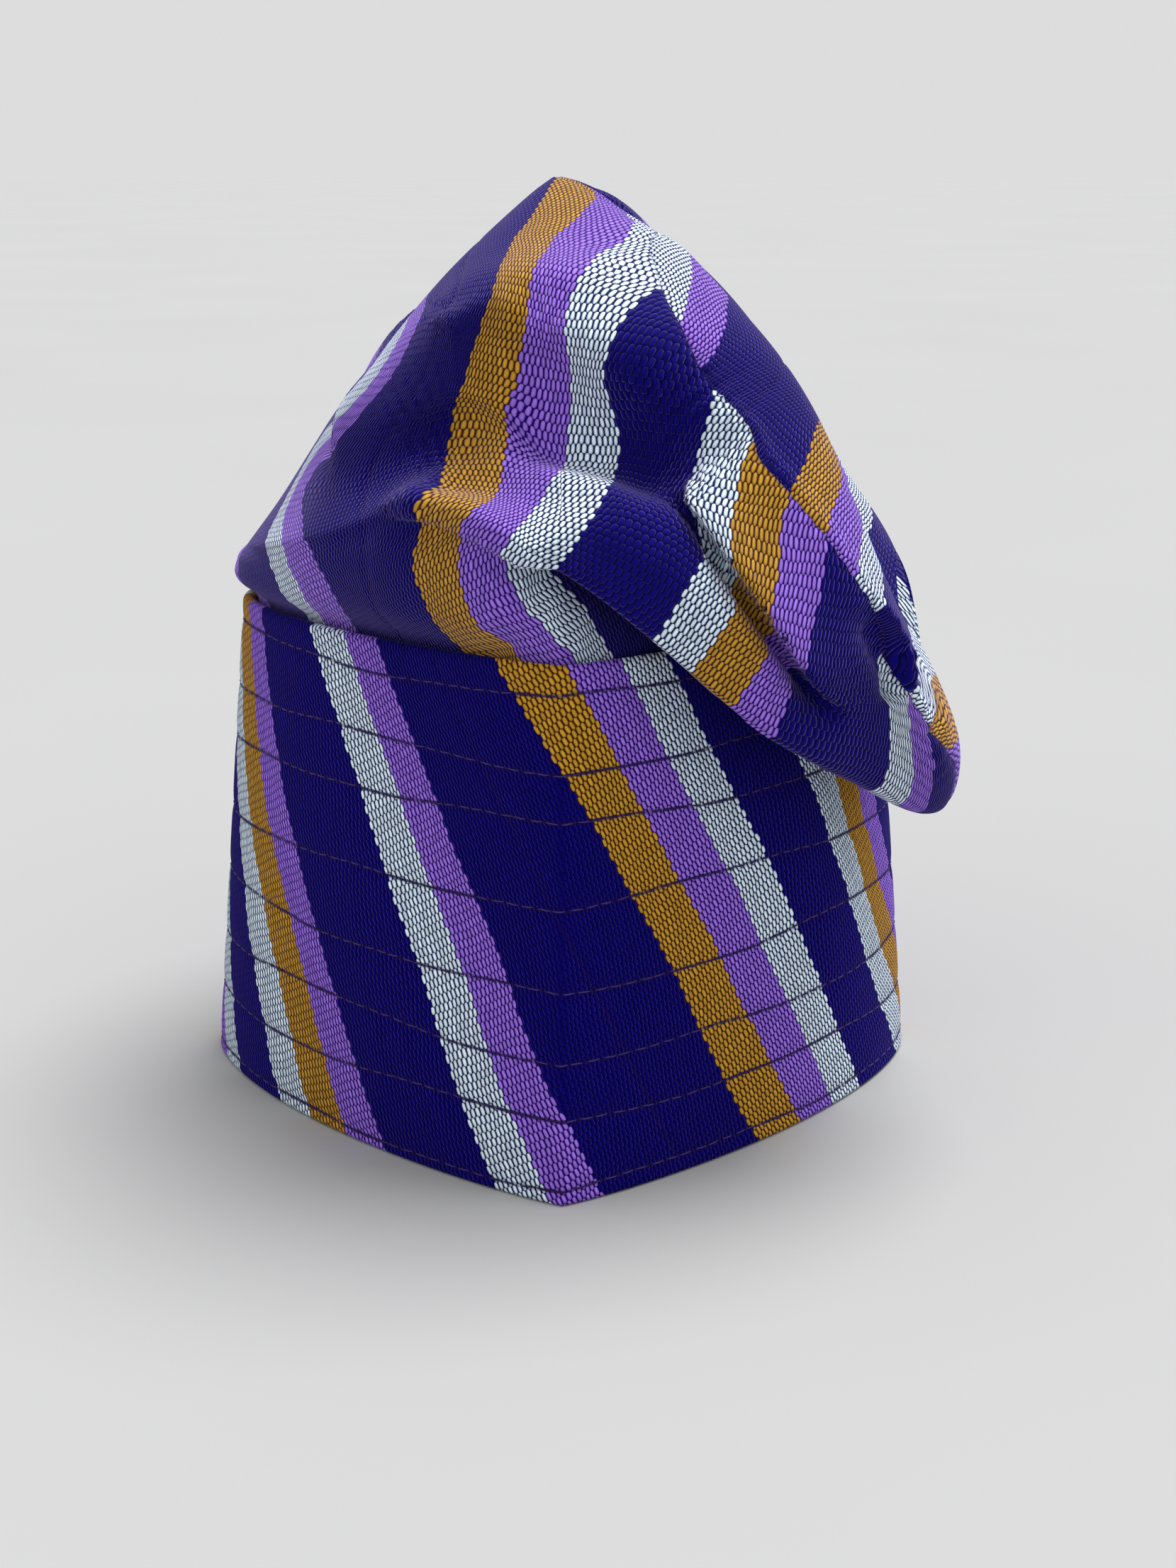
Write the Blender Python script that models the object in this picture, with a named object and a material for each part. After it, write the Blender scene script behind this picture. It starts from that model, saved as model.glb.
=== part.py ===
# A soft cap of bias-cut striped cloth, standing empty on its hem.
# The band is stiff and stitched. The crown is a soft bag that is pinched along its top seam
# and flops over the band toward the front right.
# The tables below are in millimetres and the scene is in metres. +Z is up and -Y is the front.
# Azimuth is the angle about the upright axis, 0 at the front and growing toward +X.
import math

import bmesh
import bpy
import numpy as np

MM = 0.001
TURN = 2.0 * math.pi

# Band: half lengths of its outline at the hem and at the top, the reach that the pressed fold adds
# at the front and the back, and the cloth it is made of.
BAND_HEIGHT = 119.0
SIDE_HALF = {"hem": 92.4, "top": 81.6}
FRONT_HALF = {"hem": 95.5, "top": 81.5}
CREASE_REACH = {"hem": 8.5, "top": 6.5}
CREASE_SPREAD = math.radians(14.0)
OUTLINE_SQUARENESS = 1.43
SIDE_ROUNDING = 0.12
BAND_WALL = 3.0
EDGE_ROUND = 0.9

# Crown: one row for each section. Its root stands inside the band. Neck, tuck, hem and skirt are
# measured outward from the band's top outline, brow and shoulder from the axis. Where the hem
# hangs below the tuck, the cloth turns under through a fold of the width given here.
CROWN_WALL = 2.0
SEAT_GAP = 0.3
ROOT_DEPTH = 9.0
ROOT_RISE = 0.4
SUMMIT = {"x": -0.5, "y": 6.0, "z": 222.0}
SUMMIT_ROUNDING = 0.022
SUMMIT_DRIFT_START = 0.4
HEM_FOLD_WIDTH = 5.0
HEM_FOLD_RISE = 1.5
HEM_HANG = 12.0
SECTION_COLUMNS = ("azimuth", "neck_out", "neck_z", "tuck_out", "tuck_z", "hem_out", "hem_z",
                   "skirt_out", "skirt_z", "brow_r", "brow_z", "shoulder_r", "shoulder_z")
SECTIONS = (
    (-180, 2, 127, 3, 136, 1, 146, -4, 157, 70, 175, 46, 197),
    (-135, 2, 125, 3, 131, 2, 139, -2, 149, 59, 169, 36, 195),
    (-90, 1, 123, 1, 128, -3, 133, -9, 141, 50, 169, 19, 199),
    (-62, 2, 124, 4, 130, 4, 137, -2, 145, 58, 167, 31, 196),
    (-40, 4, 126, 9, 135, 9, 144, 1, 153, 65, 170, 41, 196),
    (-20, 4, 127, 8, 140, 6, 153, -8, 160, 64, 176, 48, 198),
    (-8, 0, 127, -5, 141, 7, 149, -3, 157, 66, 174, 50, 199),
    (3, -7, 128, -18, 141, 5, 139, 4, 150, 70, 172, 52, 198),
    (14, -8, 127, -18, 139, 12, 127, 14, 141, 74, 169, 54, 197),
    (28, -8, 127, -13, 140, 24, 105, 27, 121, 80, 164, 56, 196),
    (44, -7, 127, -8, 141, 26, 88, 32, 104, 88, 158, 53, 195),
    (60, -7, 127, -7, 141, 31, 77, 35, 91, 73, 151, 42, 195),
    (74, -8, 127, -8, 141, 18, 95, 15, 107, 70, 152, 39, 196),
    (90, -6, 127, -6, 139, 7, 124, 3, 134, 68, 156, 34, 197),
    (115, 0, 126, 1, 132, 5, 140, 2, 150, 66, 163, 32, 198),
    (145, 2, 127, 4, 135, 5, 144, 0, 154, 68, 173, 46, 198),
)
# How far up the crown each of those places is reached, from 0 at its root to 1 at the summit.
LEVELS = {"root": 0.0, "throat": 0.07, "neck": 0.12, "tuck": 0.21, "under": 0.33, "hem": 0.37,
          "skirt": 0.45, "brow": 0.63, "shoulder": 0.83, "summit": 1.0}

# Folds: each runs through three places on the crown, given as azimuth and level. It lifts the cloth
# off its section, fading over one width uphill and another downhill. Lean slides it downhill.
FOLD_COLUMNS = ("fold", "az_a", "level_a", "az_b", "level_b", "az_c", "level_c",
                "lift", "uphill", "downhill", "lean")
FOLDS = (
    ("top seam, front", 56, 0.42, 38, 0.60, 27, 0.74, 4.0, 11.0, 9.0, 0.0),
    ("top seam, over", 27, 0.74, 28, 0.86, 80, 0.94, 2.0, 11.0, 10.0, 0.0),
    ("top seam, back", 90, 0.93, 165, 0.86, 180, 0.55, 3.0, 12.0, 12.0, 0.0),
    ("droop, upper layer", 17, 0.58, 24, 0.50, 38, 0.44, 6.0, 16.0, 4.5, 4.0),
    ("droop, valley", 8, 0.68, 18, 0.54, 33, 0.445, -6.5, 8.0, 9.0, 0.0),
    ("brow", -30, 0.73, -8, 0.80, 18, 0.80, 5.5, 18.0, 8.0, 2.0),
    ("lip of the front roll", -34, 0.40, -14, 0.35, 2, 0.37, 3.5, 8.0, 5.0, 2.5),
    ("left front slope", -54, 0.58, -38, 0.66, -20, 0.78, 3.5, 14.0, 10.0, 1.0),
    ("left back slope", -150, 0.48, -128, 0.60, -112, 0.80, 3.0, 13.0, 11.0, 0.0),
    ("back sag", 112, 0.60, 140, 0.52, 168, 0.56, 3.0, 14.0, 8.0, 2.0),
)
FOLD_STEPS = 33
FOLD_END_FADE = 0.22
FOLD_REACH = 0.30

# Facets: columns go round each piece and rows go up the crown.
COLUMNS = 76
CROWN_ROWS = 34
WALL_EASING = 4

LOOKS = {
    "band": {"color": (0.047, 0.030, 0.223), "roughness": 0.86},
    "crown": {"color": (0.053, 0.034, 0.240), "roughness": 0.88},
}


def signed_turn(angle):
    """The same angle brought between minus and plus half a turn."""
    return (angle + math.pi) % TURN - math.pi


def band_outline(az, rise):
    """Distance from the axis to the band's outer face: a rounded lozenge with a pressed fold front and back.

    Rise is 0 at the hem and 1 at the top.
    """
    side = SIDE_HALF["hem"] + (SIDE_HALF["top"] - SIDE_HALF["hem"]) * rise
    front = FRONT_HALF["hem"] + (FRONT_HALF["top"] - FRONT_HALF["hem"]) * rise
    reach = CREASE_REACH["hem"] + (CREASE_REACH["top"] - CREASE_REACH["hem"]) * rise
    across = (np.abs(np.sin(az)) / side) ** OUTLINE_SQUARENESS
    along = (np.hypot(np.cos(az), SIDE_ROUNDING) / front) ** OUTLINE_SQUARENESS
    front_fold = np.exp(-np.abs(signed_turn(az)) / CREASE_SPREAD)
    back_fold = np.exp(-np.abs(signed_turn(az - math.pi)) / CREASE_SPREAD)
    return (across + along) ** (-1.0 / OUTLINE_SQUARENESS) + reach * (front_fold + back_fold)


def smooth_through(at, knots, values):
    """Smooth curve through a table: cubic pieces whose slope at a knot is the mean of its neighbours' slopes."""
    gap = np.diff(knots)
    slope = np.diff(values, axis=0) / gap[:, None]
    inner_slope = (gap[1:, None] * slope[:-1] + gap[:-1, None] * slope[1:]) / (gap[:-1] + gap[1:])[:, None]
    knot_slope = np.concatenate((slope[:1], inner_slope, slope[-1:]))
    piece = np.clip(np.searchsorted(knots, at, side="right") - 1, 0, len(knots) - 2)
    step = gap[piece][:, None]
    u = (at - knots[piece])[:, None] / step
    low = (2 * u**3 - 3 * u**2 + 1) * values[piece] + (u**3 - 2 * u**2 + u) * knot_slope[piece] * step
    high = (3 * u**2 - 2 * u**3) * values[piece + 1] + (u**3 - u**2) * knot_slope[piece + 1] * step
    return low + high


def section_at(az):
    """The section table read at any azimuth, joined round the back: one array for each column's name."""
    table = np.array(SECTIONS, float)
    table = np.vstack((table[-2:], table, table[:2]))
    table[:2, 0] -= 360.0
    table[-2:, 0] += 360.0
    values = smooth_through(np.degrees(signed_turn(az)), table[:, 0], table[:, 1:])
    return dict(zip(SECTION_COLUMNS[1:], values.T))


def crown_base(az, level):
    """Crown without folds: a profile up each section, swept round and drawn toward the summit."""
    row = section_at(az)
    rim = band_outline(az, 1.0)
    inside = rim - BAND_WALL - SEAT_GAP
    hang = np.clip((row["tuck_z"] - row["hem_z"]) / HEM_HANG, 0.0, 1.0)
    share = (LEVELS["under"] - LEVELS["tuck"]) / (LEVELS["hem"] - LEVELS["tuck"])
    plain_out = row["tuck_out"] + share * (row["hem_out"] - row["tuck_out"])
    plain_z = row["tuck_z"] + share * (row["hem_z"] - row["tuck_z"])
    under_out = plain_out + hang * (row["hem_out"] - HEM_FOLD_WIDTH - plain_out)
    under_z = plain_z + hang * (row["hem_z"] + HEM_FOLD_RISE - plain_z)
    level_ring = np.ones_like(rim)
    places = (
        (inside, (BAND_HEIGHT - ROOT_DEPTH) * level_ring),
        (inside, (BAND_HEIGHT + ROOT_RISE) * level_ring),
        (rim + row["neck_out"], row["neck_z"]),
        (rim + row["tuck_out"], row["tuck_z"]),
        (rim + under_out, under_z),
        (rim + row["hem_out"], row["hem_z"]),
        (rim + row["skirt_out"], row["skirt_z"]),
        (row["brow_r"], row["brow_z"]),
        (row["shoulder_r"], row["shoulder_z"]),
        (0.0 * level_ring, SUMMIT["z"] * level_ring),
    )
    knots = np.array(list(LEVELS.values()))
    radius = smooth_through(level, knots, np.stack([place[0] for place in places]))
    in_band = (level <= LEVELS["throat"])[:, None]
    radius = np.where(in_band, np.minimum(radius, inside), radius)
    blunted = np.maximum(1.0 - np.hypot(1.0 - level, SUMMIT_ROUNDING), 0.0)
    height = smooth_through(blunted, knots, np.stack([place[1] for place in places]))
    drift = np.clip((level - SUMMIT_DRIFT_START) / (1.0 - SUMMIT_DRIFT_START), 0.0, 1.0)
    drift = (drift * drift * (3.0 - 2.0 * drift))[:, None]
    x = SUMMIT["x"] * drift + radius * np.sin(az)
    y = SUMMIT["y"] * drift - radius * np.cos(az)
    return np.stack((x, y, height), -1)


def outward(points):
    """Unit normals of a grid of points whose rows run up and whose columns run round."""
    up = np.gradient(points, axis=0)
    ring = np.roll(points, -1, axis=1) - np.roll(points, 1, axis=1)
    normal = np.cross(ring, up)
    return normal / np.maximum(np.linalg.norm(normal, axis=-1, keepdims=True), 1e-9)


def eased(normal):
    """The normals averaged up and down each section, so that the inner face turns gently at a fold."""
    for _ in range(WALL_EASING):
        middle = (normal[:-2] + 2.0 * normal[1:-1] + normal[2:]) / 4.0
        normal = np.concatenate((normal[:1], middle, normal[-1:]))
    return normal / np.maximum(np.linalg.norm(normal, axis=-1, keepdims=True), 1e-9)


def fold_line(fold):
    """Points, levels and strength along one fold: a parabola through its three places, fading at both ends."""
    u = np.linspace(0.0, 1.0, FOLD_STEPS)
    through = np.stack((2 * (u - 0.5) * (u - 1.0), 4 * u * (1.0 - u), 2 * u * (u - 0.5)), -1)
    az = np.radians(through @ np.array((fold["az_a"], fold["az_b"], fold["az_c"]), float))
    level = through @ np.array((fold["level_a"], fold["level_b"], fold["level_c"]), float)
    points = np.stack([crown_base(az[i:i + 1], level[i:i + 1])[0, 0] for i in range(FOLD_STEPS)])
    strength = np.clip(np.minimum(u, 1.0 - u) / FOLD_END_FADE, 0.0, 1.0)
    return points, level, strength**2 * (3.0 - 2.0 * strength)


def crown_surface(az, level):
    """Outer face of the crown: the base, moved along its normal by every fold in the table."""
    base = crown_base(az, level)
    normal = outward(base)
    moved = np.zeros_like(base)
    for fold in (dict(zip(FOLD_COLUMNS, row)) for row in FOLDS):
        points, line_level, strength = fold_line(fold)
        run = np.gradient(points, axis=0)
        run /= np.linalg.norm(run, axis=1, keepdims=True)
        distance = np.linalg.norm(base[:, :, None, :] - points, axis=-1)
        nearest = distance.argmin(-1)
        uphill = np.cross(run[nearest], normal)
        uphill *= np.where(uphill[..., 2:] < 0.0, -1.0, 1.0)
        above = (uphill * (base - points[nearest])).sum(-1) > 0.0
        width = np.where(above, fold["uphill"], fold["downhill"])
        level_gap = np.abs(level[:, None] - line_level[nearest])
        same_layer = np.clip(2.0 - 2.0 * level_gap / FOLD_REACH, 0.0, 1.0)
        amount = strength[nearest] * same_layer * np.exp(-(distance.min(-1) / width) ** 2)
        moved += amount[..., None] * (fold["lift"] * normal - fold["lean"] * uphill)
    settled = np.clip((level - LEVELS["neck"]) / (LEVELS["tuck"] - LEVELS["neck"]), 0.0, 1.0)
    return base + moved * settled[:, None, None]


def closed_solid(name, vertices, faces):
    """Named object in its own cloth, from closed faces that are all turned outward."""
    mesh = bpy.data.meshes.new(name)
    mesh.from_pydata((vertices * MM).tolist(), [], faces)
    work = bmesh.new()
    work.from_mesh(mesh)
    bmesh.ops.recalc_face_normals(work, faces=work.faces)
    work.to_mesh(mesh)
    work.free()
    mesh.shade_smooth()
    material = bpy.data.materials.new(name + " cloth")
    material.use_nodes = True
    shader = material.node_tree.nodes["Principled BSDF"]
    shader.inputs["Base Color"].default_value = LOOKS[name]["color"] + (1.0,)
    shader.inputs["Roughness"].default_value = LOOKS[name]["roughness"]
    mesh.materials.append(material)
    obj = bpy.data.objects.new(name, mesh)
    bpy.context.scene.collection.objects.link(obj)
    return obj


def ring_strip(low, high):
    """Quads between two closed rings of vertices, given by each ring's first vertex."""
    return [(low + c, low + (c + 1) % COLUMNS, high + (c + 1) % COLUMNS, high + c) for c in range(COLUMNS)]


def build_band():
    """Closed ring of cloth: flat foot, rounded hem, leaning wall, rounded top edge."""
    az = np.linspace(-math.pi, math.pi, COLUMNS, endpoint=False)
    profile = (
        (-BAND_WALL + EDGE_ROUND, 0.0),
        (-EDGE_ROUND, 0.0),
        (0.0, EDGE_ROUND),
        (0.0, BAND_HEIGHT - EDGE_ROUND),
        (-EDGE_ROUND, BAND_HEIGHT),
        (-BAND_WALL + EDGE_ROUND, BAND_HEIGHT),
        (-BAND_WALL, BAND_HEIGHT - EDGE_ROUND),
        (-BAND_WALL, EDGE_ROUND),
    )
    rings = []
    faces = []
    for ring, (out, z) in enumerate(profile):
        radius = band_outline(az, z / BAND_HEIGHT) + out
        rings.append(np.stack((radius * np.sin(az), -radius * np.cos(az), np.full_like(az, z)), -1))
        faces += ring_strip(ring * COLUMNS, (ring + 1) % len(profile) * COLUMNS)
    return closed_solid("band", np.concatenate(rings), faces)


def build_crown():
    """Hollow bag of one cloth thickness, open downward into the band and closed at the summit."""
    az = np.linspace(-math.pi, math.pi, COLUMNS, endpoint=False)
    level = np.linspace(0.0, 1.0, CROWN_ROWS + 1)
    outer = crown_surface(az, level)
    inner = outer - CROWN_WALL * eased(outward(outer))
    inner[0, :, 2] = outer[0, :, 2]
    outer_summit = outer[-1, :1]
    inner_summit = outer_summit - np.array((0.0, 0.0, CROWN_WALL))
    vertices = np.concatenate((outer[:-1].reshape(-1, 3), outer_summit, inner[:-1].reshape(-1, 3), inner_summit))
    inner_start = CROWN_ROWS * COLUMNS + 1
    faces = ring_strip(0, inner_start)
    for start in (0, inner_start):
        for row in range(CROWN_ROWS - 1):
            faces += ring_strip(start + row * COLUMNS, start + (row + 1) * COLUMNS)
        last = start + (CROWN_ROWS - 1) * COLUMNS
        faces += [(last + c, last + (c + 1) % COLUMNS, last + COLUMNS) for c in range(COLUMNS)]
    return closed_solid("crown", vertices, faces)


def centre_on_floor(pieces):
    """Moves the pieces together, so that the cap's box is centred on the origin and stands at z = 0."""
    points = np.concatenate([np.array([vertex.co[:] for vertex in piece.data.vertices]) for piece in pieces])
    low = points.min(axis=0)
    high = points.max(axis=0)
    shift = np.array(((low[0] + high[0]) / 2, (low[1] + high[1]) / 2, low[2]))
    for piece in pieces:
        for vertex in piece.data.vertices:
            vertex.co = np.array(vertex.co[:]) - shift


for old in list(bpy.data.objects):
    bpy.data.objects.remove(old, do_unlink=True)
centre_on_floor([build_band(), build_crown()])
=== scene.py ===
import math

import bpy
import numpy as np
from mathutils import Matrix, Vector


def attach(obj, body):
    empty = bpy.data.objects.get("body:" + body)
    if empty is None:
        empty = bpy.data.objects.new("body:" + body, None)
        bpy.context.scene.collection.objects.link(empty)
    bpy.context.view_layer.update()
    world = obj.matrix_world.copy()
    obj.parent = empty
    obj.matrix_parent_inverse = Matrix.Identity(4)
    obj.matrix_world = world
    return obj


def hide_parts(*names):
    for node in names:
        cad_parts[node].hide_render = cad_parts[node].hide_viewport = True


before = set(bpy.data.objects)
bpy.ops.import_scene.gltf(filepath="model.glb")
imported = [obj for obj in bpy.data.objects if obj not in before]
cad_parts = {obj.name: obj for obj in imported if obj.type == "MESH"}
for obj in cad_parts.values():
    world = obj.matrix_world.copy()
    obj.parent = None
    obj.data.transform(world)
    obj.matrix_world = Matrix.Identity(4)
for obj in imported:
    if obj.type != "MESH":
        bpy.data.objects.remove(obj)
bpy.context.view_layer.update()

# Camera: where the photograph was taken from, a little above the cap and straight at its front fold.
# Lengths are in millimetres from the band's axis, which stands at AXIS_X.
MM = 0.001
AXIS_X = -1.843
PICTURE = (1659.0, 2212.0)
FOCAL_PIXELS = 3324.0
EYE_DISTANCE = 594.0
EYE_ELEVATION = math.radians(12.0)
AIM_HEIGHT = 106.0
AIM_PIXEL = (790.0, 905.0)


def camera_axes():
    """Eye point and unit right, up and forward, turned so that the aim point shows at its pixel."""
    away = EYE_DISTANCE * math.cos(EYE_ELEVATION)
    above = EYE_DISTANCE * math.sin(EYE_ELEVATION)
    eye = np.array((0.0, -away, AIM_HEIGHT + above))
    yaw = math.atan((AIM_PIXEL[0] - PICTURE[0] / 2) / FOCAL_PIXELS)
    pitch = EYE_ELEVATION - math.atan((AIM_PIXEL[1] - PICTURE[1] / 2) / FOCAL_PIXELS * math.cos(yaw))
    forward = np.array((-math.sin(yaw) * math.cos(pitch), math.cos(yaw) * math.cos(pitch), -math.sin(pitch)))
    right = np.cross(forward, (0.0, 0.0, 1.0))
    right /= np.linalg.norm(right)
    return eye, right, np.cross(right, forward), forward


def in_picture(points):
    """Pixel place and depth of each point, by the pinhole rule: focal length times offset over depth."""
    eye, right, up, forward = camera_axes()
    away = points - eye
    depth = away @ forward
    across = PICTURE[0] / 2 + FOCAL_PIXELS * (away @ right) / depth
    down = PICTURE[1] / 2 - FOCAL_PIXELS * (away @ up) / depth
    return np.stack((across, down), -1), depth


eye, right, up, forward = camera_axes()
camera_data = bpy.data.cameras.new("camera")
camera_data.lens = camera_data.sensor_width * FOCAL_PIXELS / PICTURE[1]
camera_data.clip_start = 0.01
camera_data.clip_end = 20.0
camera = bpy.data.objects.new("camera", camera_data)
bpy.context.scene.collection.objects.link(camera)
turn = Matrix((right, up, -forward)).transposed()
camera.matrix_world = Matrix.Translation(Vector((eye + (AXIS_X, 0.0, 0.0)) * MM)) @ turn.to_4x4()
bpy.context.scene.camera = camera


# Floor: a wide pale board under the cap.
# It is one flat square with a slightly mottled matt paint, and isn't part of the object.
class Wire:
    """A value in a material's node tree. Sums and products of wires add Math nodes."""

    def __init__(self, tree, socket=None):
        self.tree = tree
        self.socket = socket

    def node(self, kind, settings=None, inputs=None, output=0):
        """Adds one node, sets its settings, then its sockets' values or links, and returns one output."""
        made = self.tree.nodes.new(kind)
        for key, value in (settings or {}).items():
            if key == "stops":
                ramp = made.color_ramp
                ramp.interpolation = "CONSTANT"
                while len(ramp.elements) < len(value):
                    ramp.elements.new(1.0)
                for element, (place, colour) in zip(ramp.elements, value):
                    element.position = place
                    element.color = (*colour, 1.0)
            else:
                setattr(made, key, value)
        for key, value in (inputs or {}).items():
            if isinstance(value, Wire):
                self.tree.links.new(value.socket, made.inputs[key])
            else:
                made.inputs[key].default_value = value
        return Wire(self.tree, made.outputs[output])

    def math(self, operation, *values):
        """One Math node with this operation on the values."""
        return self.node("ShaderNodeMath", {"operation": operation}, dict(enumerate(values)))

    def __add__(self, other):
        return self.math("ADD", self, other)

    __radd__ = __add__

    def __sub__(self, other):
        return self.math("SUBTRACT", self, other)

    def __rsub__(self, other):
        return self.math("SUBTRACT", other, self)

    def __mul__(self, other):
        return self.math("MULTIPLY", self, other)

    __rmul__ = __mul__

    def __truediv__(self, other):
        return self.math("DIVIDE", self, other)

    def __pow__(self, other):
        return self.math("POWER", self, other)

    def __abs__(self):
        return self.math("ABSOLUTE", self)

    def __gt__(self, other):
        return self.math("GREATER_THAN", self, other)

    def step(self, low, high):
        """0 below low, 1 above high and a smooth rise between."""
        limits = {"From Min": low, "From Max": high, "Value": self}
        return self.node("ShaderNodeMapRange", {"interpolation_type": "SMOOTHSTEP"}, limits)

    def tint(self, low, high):
        """Colour low where this value is 0 and high where it is 1."""
        low = low if isinstance(low, Wire) else (*low, 1.0)
        high = high if isinstance(high, Wire) else (*high, 1.0)
        return self.node("ShaderNodeMix", {"data_type": "RGBA"}, {0: self, 6: low, 7: high}, 2)


def new_material(name, roughness, shine=0.25, sheen=0.0, sheen_tint=(1.0, 1.0, 1.0), sheen_roughness=0.36):
    """Material with one Principled shader, its even values on the shader's own sockets."""
    material = bpy.data.materials.new(name)
    material.use_nodes = True
    shader = material.node_tree.nodes["Principled BSDF"]
    shader.inputs["Roughness"].default_value = roughness
    shader.inputs["Specular IOR Level"].default_value = shine
    shader.inputs["Sheen Weight"].default_value = sheen
    shader.inputs["Sheen Roughness"].default_value = sheen_roughness
    shader.inputs["Sheen Tint"].default_value = (*sheen_tint, 1.0)
    return material, shader, Wire(material.node_tree)


def feed(shader, name, wire):
    """Links a value to one of the shader's sockets."""
    wire.tree.links.new(wire.socket, shader.inputs[name])


def grid_mesh(name, vertices, faces, material, attributes=None):
    """Smooth mesh object from vertices in millimetres from the band's axis and groups of faces."""
    mesh = bpy.data.meshes.new(name)
    corners = [face for group in faces for face in group.tolist()]
    mesh.from_pydata(((vertices + (AXIS_X, 0.0, 0.0)) * MM).tolist(), [], corners)
    for key, values in (attributes or {}).items():
        layer = mesh.attributes.new(key, "FLOAT_VECTOR", "POINT")
        layer.data.foreach_set("vector", np.ascontiguousarray(values, dtype=np.float32).ravel())
    mesh.shade_smooth()
    mesh.materials.append(material)
    piece = bpy.data.objects.new(name, mesh)
    bpy.context.scene.collection.objects.link(piece)
    return piece


FLOOR_HALF = 12000.0
FLOOR_TONES = ((0.395, 0.395, 0.40), (0.42, 0.42, 0.42))
FLOOR_CLOUDS = {"Scale": 3.0, "Detail": 2.0}
floor_paint, shader, wire = new_material("floor paint", roughness=0.9)
spot = wire.node("ShaderNodeTexCoord", output="Object")
cloud = wire.node("ShaderNodeTexNoise", inputs={"Vector": spot, **FLOOR_CLOUDS})
feed(shader, "Base Color", cloud.tint(*FLOOR_TONES))
floor_corners = np.array([(-1, -1, 0), (1, -1, 0), (1, 1, 0), (-1, 1, 0)]) * FLOOR_HALF
floor = grid_mesh("floor", floor_corners, (np.array([(0, 1, 2, 3)]),), floor_paint)


# Lights: a pale room with a broad soft lamp high above the cap, a little to the right and behind, and
# two weak fills. The fills are area lamps, in metres and watts, and look at the cap's middle. The room is
# as bright as the floor under the lamp, so that no line shows where they meet.
HIGH_LAMP = {"from": (0.26, 0.22, 0.94), "strength": 3.3, "spread": math.radians(36.0)}
ROOM_STRENGTH = 0.72
LAMP_COLUMNS = ("name", "x", "y", "z", "width", "watts")
LAMPS = (
    ("left fill", -1.00, -0.80, 0.70, 0.9, 1.6),
    ("right fill", 1.00, -0.70, 0.75, 0.9, 1.4),
)
LAMP_AIM = Vector((0.0, 0.0, 0.1))
data = bpy.data.lights.new("high lamp", "SUN")
data.energy = HIGH_LAMP["strength"]
data.angle = HIGH_LAMP["spread"]
light = bpy.data.objects.new("high lamp", data)
light.rotation_mode = "QUATERNION"
light.rotation_quaternion = (-Vector(HIGH_LAMP["from"])).to_track_quat("-Z", "Y")
bpy.context.scene.collection.objects.link(light)
for lamp in (dict(zip(LAMP_COLUMNS, row)) for row in LAMPS):
    data = bpy.data.lights.new(lamp["name"], "AREA")
    data.energy = lamp["watts"]
    data.size = lamp["width"]
    light = bpy.data.objects.new(lamp["name"], data)
    light.location = (lamp["x"], lamp["y"], lamp["z"])
    light.rotation_mode = "QUATERNION"
    light.rotation_quaternion = (LAMP_AIM - light.location).to_track_quat("-Z", "Y")
    bpy.context.scene.collection.objects.link(light)
world = bpy.data.worlds.new("white room")
world.use_nodes = True
world.node_tree.nodes["Background"].inputs["Color"].default_value = (1.0, 1.0, 1.0, 1.0)
world.node_tree.nodes["Background"].inputs["Strength"].default_value = ROOM_STRENGTH
bpy.context.scene.world = world
bpy.context.scene.view_settings.view_transform = "Standard"


# Band: a ring of strip cloth cut on the bias, several layers thick, with a rolled edge at the top and
# bottom and a pressed fold front and back. Eight rows of machine stitching pucker it, and it stands
# on its hem. Its ends meet in one seam at the back.
BAND_HEIGHT = 119.0
SIDE_HALF = {"hem": 92.4, "top": 81.6}
FRONT_HALF = {"hem": 95.5, "top": 81.5}
CREASE_REACH = {"hem": 8.5, "top": 6.5}
CREASE_SPREAD = math.radians(14.0)
OUTLINE_SQUARENESS = 1.43
SIDE_ROUNDING = 0.12
BAND_WALL = 3.0
BAND_COLUMNS = 460
BAND_ROWS = 132
BAND_INSIDE_ROWS = 12
ROLL_STEPS = 7
BACK_SEAM = {"depth": 0.5, "width": 1.2}
TURN = 2.0 * math.pi

# Heights of the stitch rows. A row wanders by a few waves round the band: how many waves, how high,
# and how far the next row's wave is shifted. NO_STITCH is the distance given where no row is near.
STITCH_ROWS = (3.4, 18.0, 32.0, 48.0, 66.0, 84.0, 96.5, 112.5)
STITCH_WANDER = ((2.0, 0.8, 1.7), (5.0, 0.5, 2.9), (13.0, 0.2, 1.0))
PUCKER_DEPTH = 0.42
PUCKER_WIDTH = 1.7
PUCKER_SHARPNESS = 1.3
NO_STITCH = 9.0

# Stripes across the cloth, as woven: colour and width of each. Lengths across are s, along are t. A
# yarn has one tone on top of a bead; between beads the tone is the weft's dark colour with painted shade.
STRIPES = (
    ("gold", 12.7), ("violet", 12.7), ("white", 11.7), ("dark", 21.0), ("white", 11.7), ("gold", 12.7),
    ("violet", 12.7), ("dark", 30.0), ("white", 11.7), ("violet", 12.7), ("dark", 44.0),
)
STRIPE_REPEAT = sum(width for _, width in STRIPES)
STRIPE_STARTS = np.concatenate(([0.0], np.cumsum([width for _, width in STRIPES])[:-1])) / STRIPE_REPEAT
YARNS_AND_PAINTED_GAP_SHADE = {
    "gold": ((0.540, 0.290, 0.026), (0.060, 0.016, 0.001)),
    "violet": ((0.330, 0.170, 0.740), (0.020, 0.001, 0.160)),
    "white": ((0.720, 0.850, 0.940), (0.006, 0.014, 0.075)),
    "dark": ((0.0045, 0.0018, 0.150), (0.0004, 0.0001, 0.080)),
}

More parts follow.
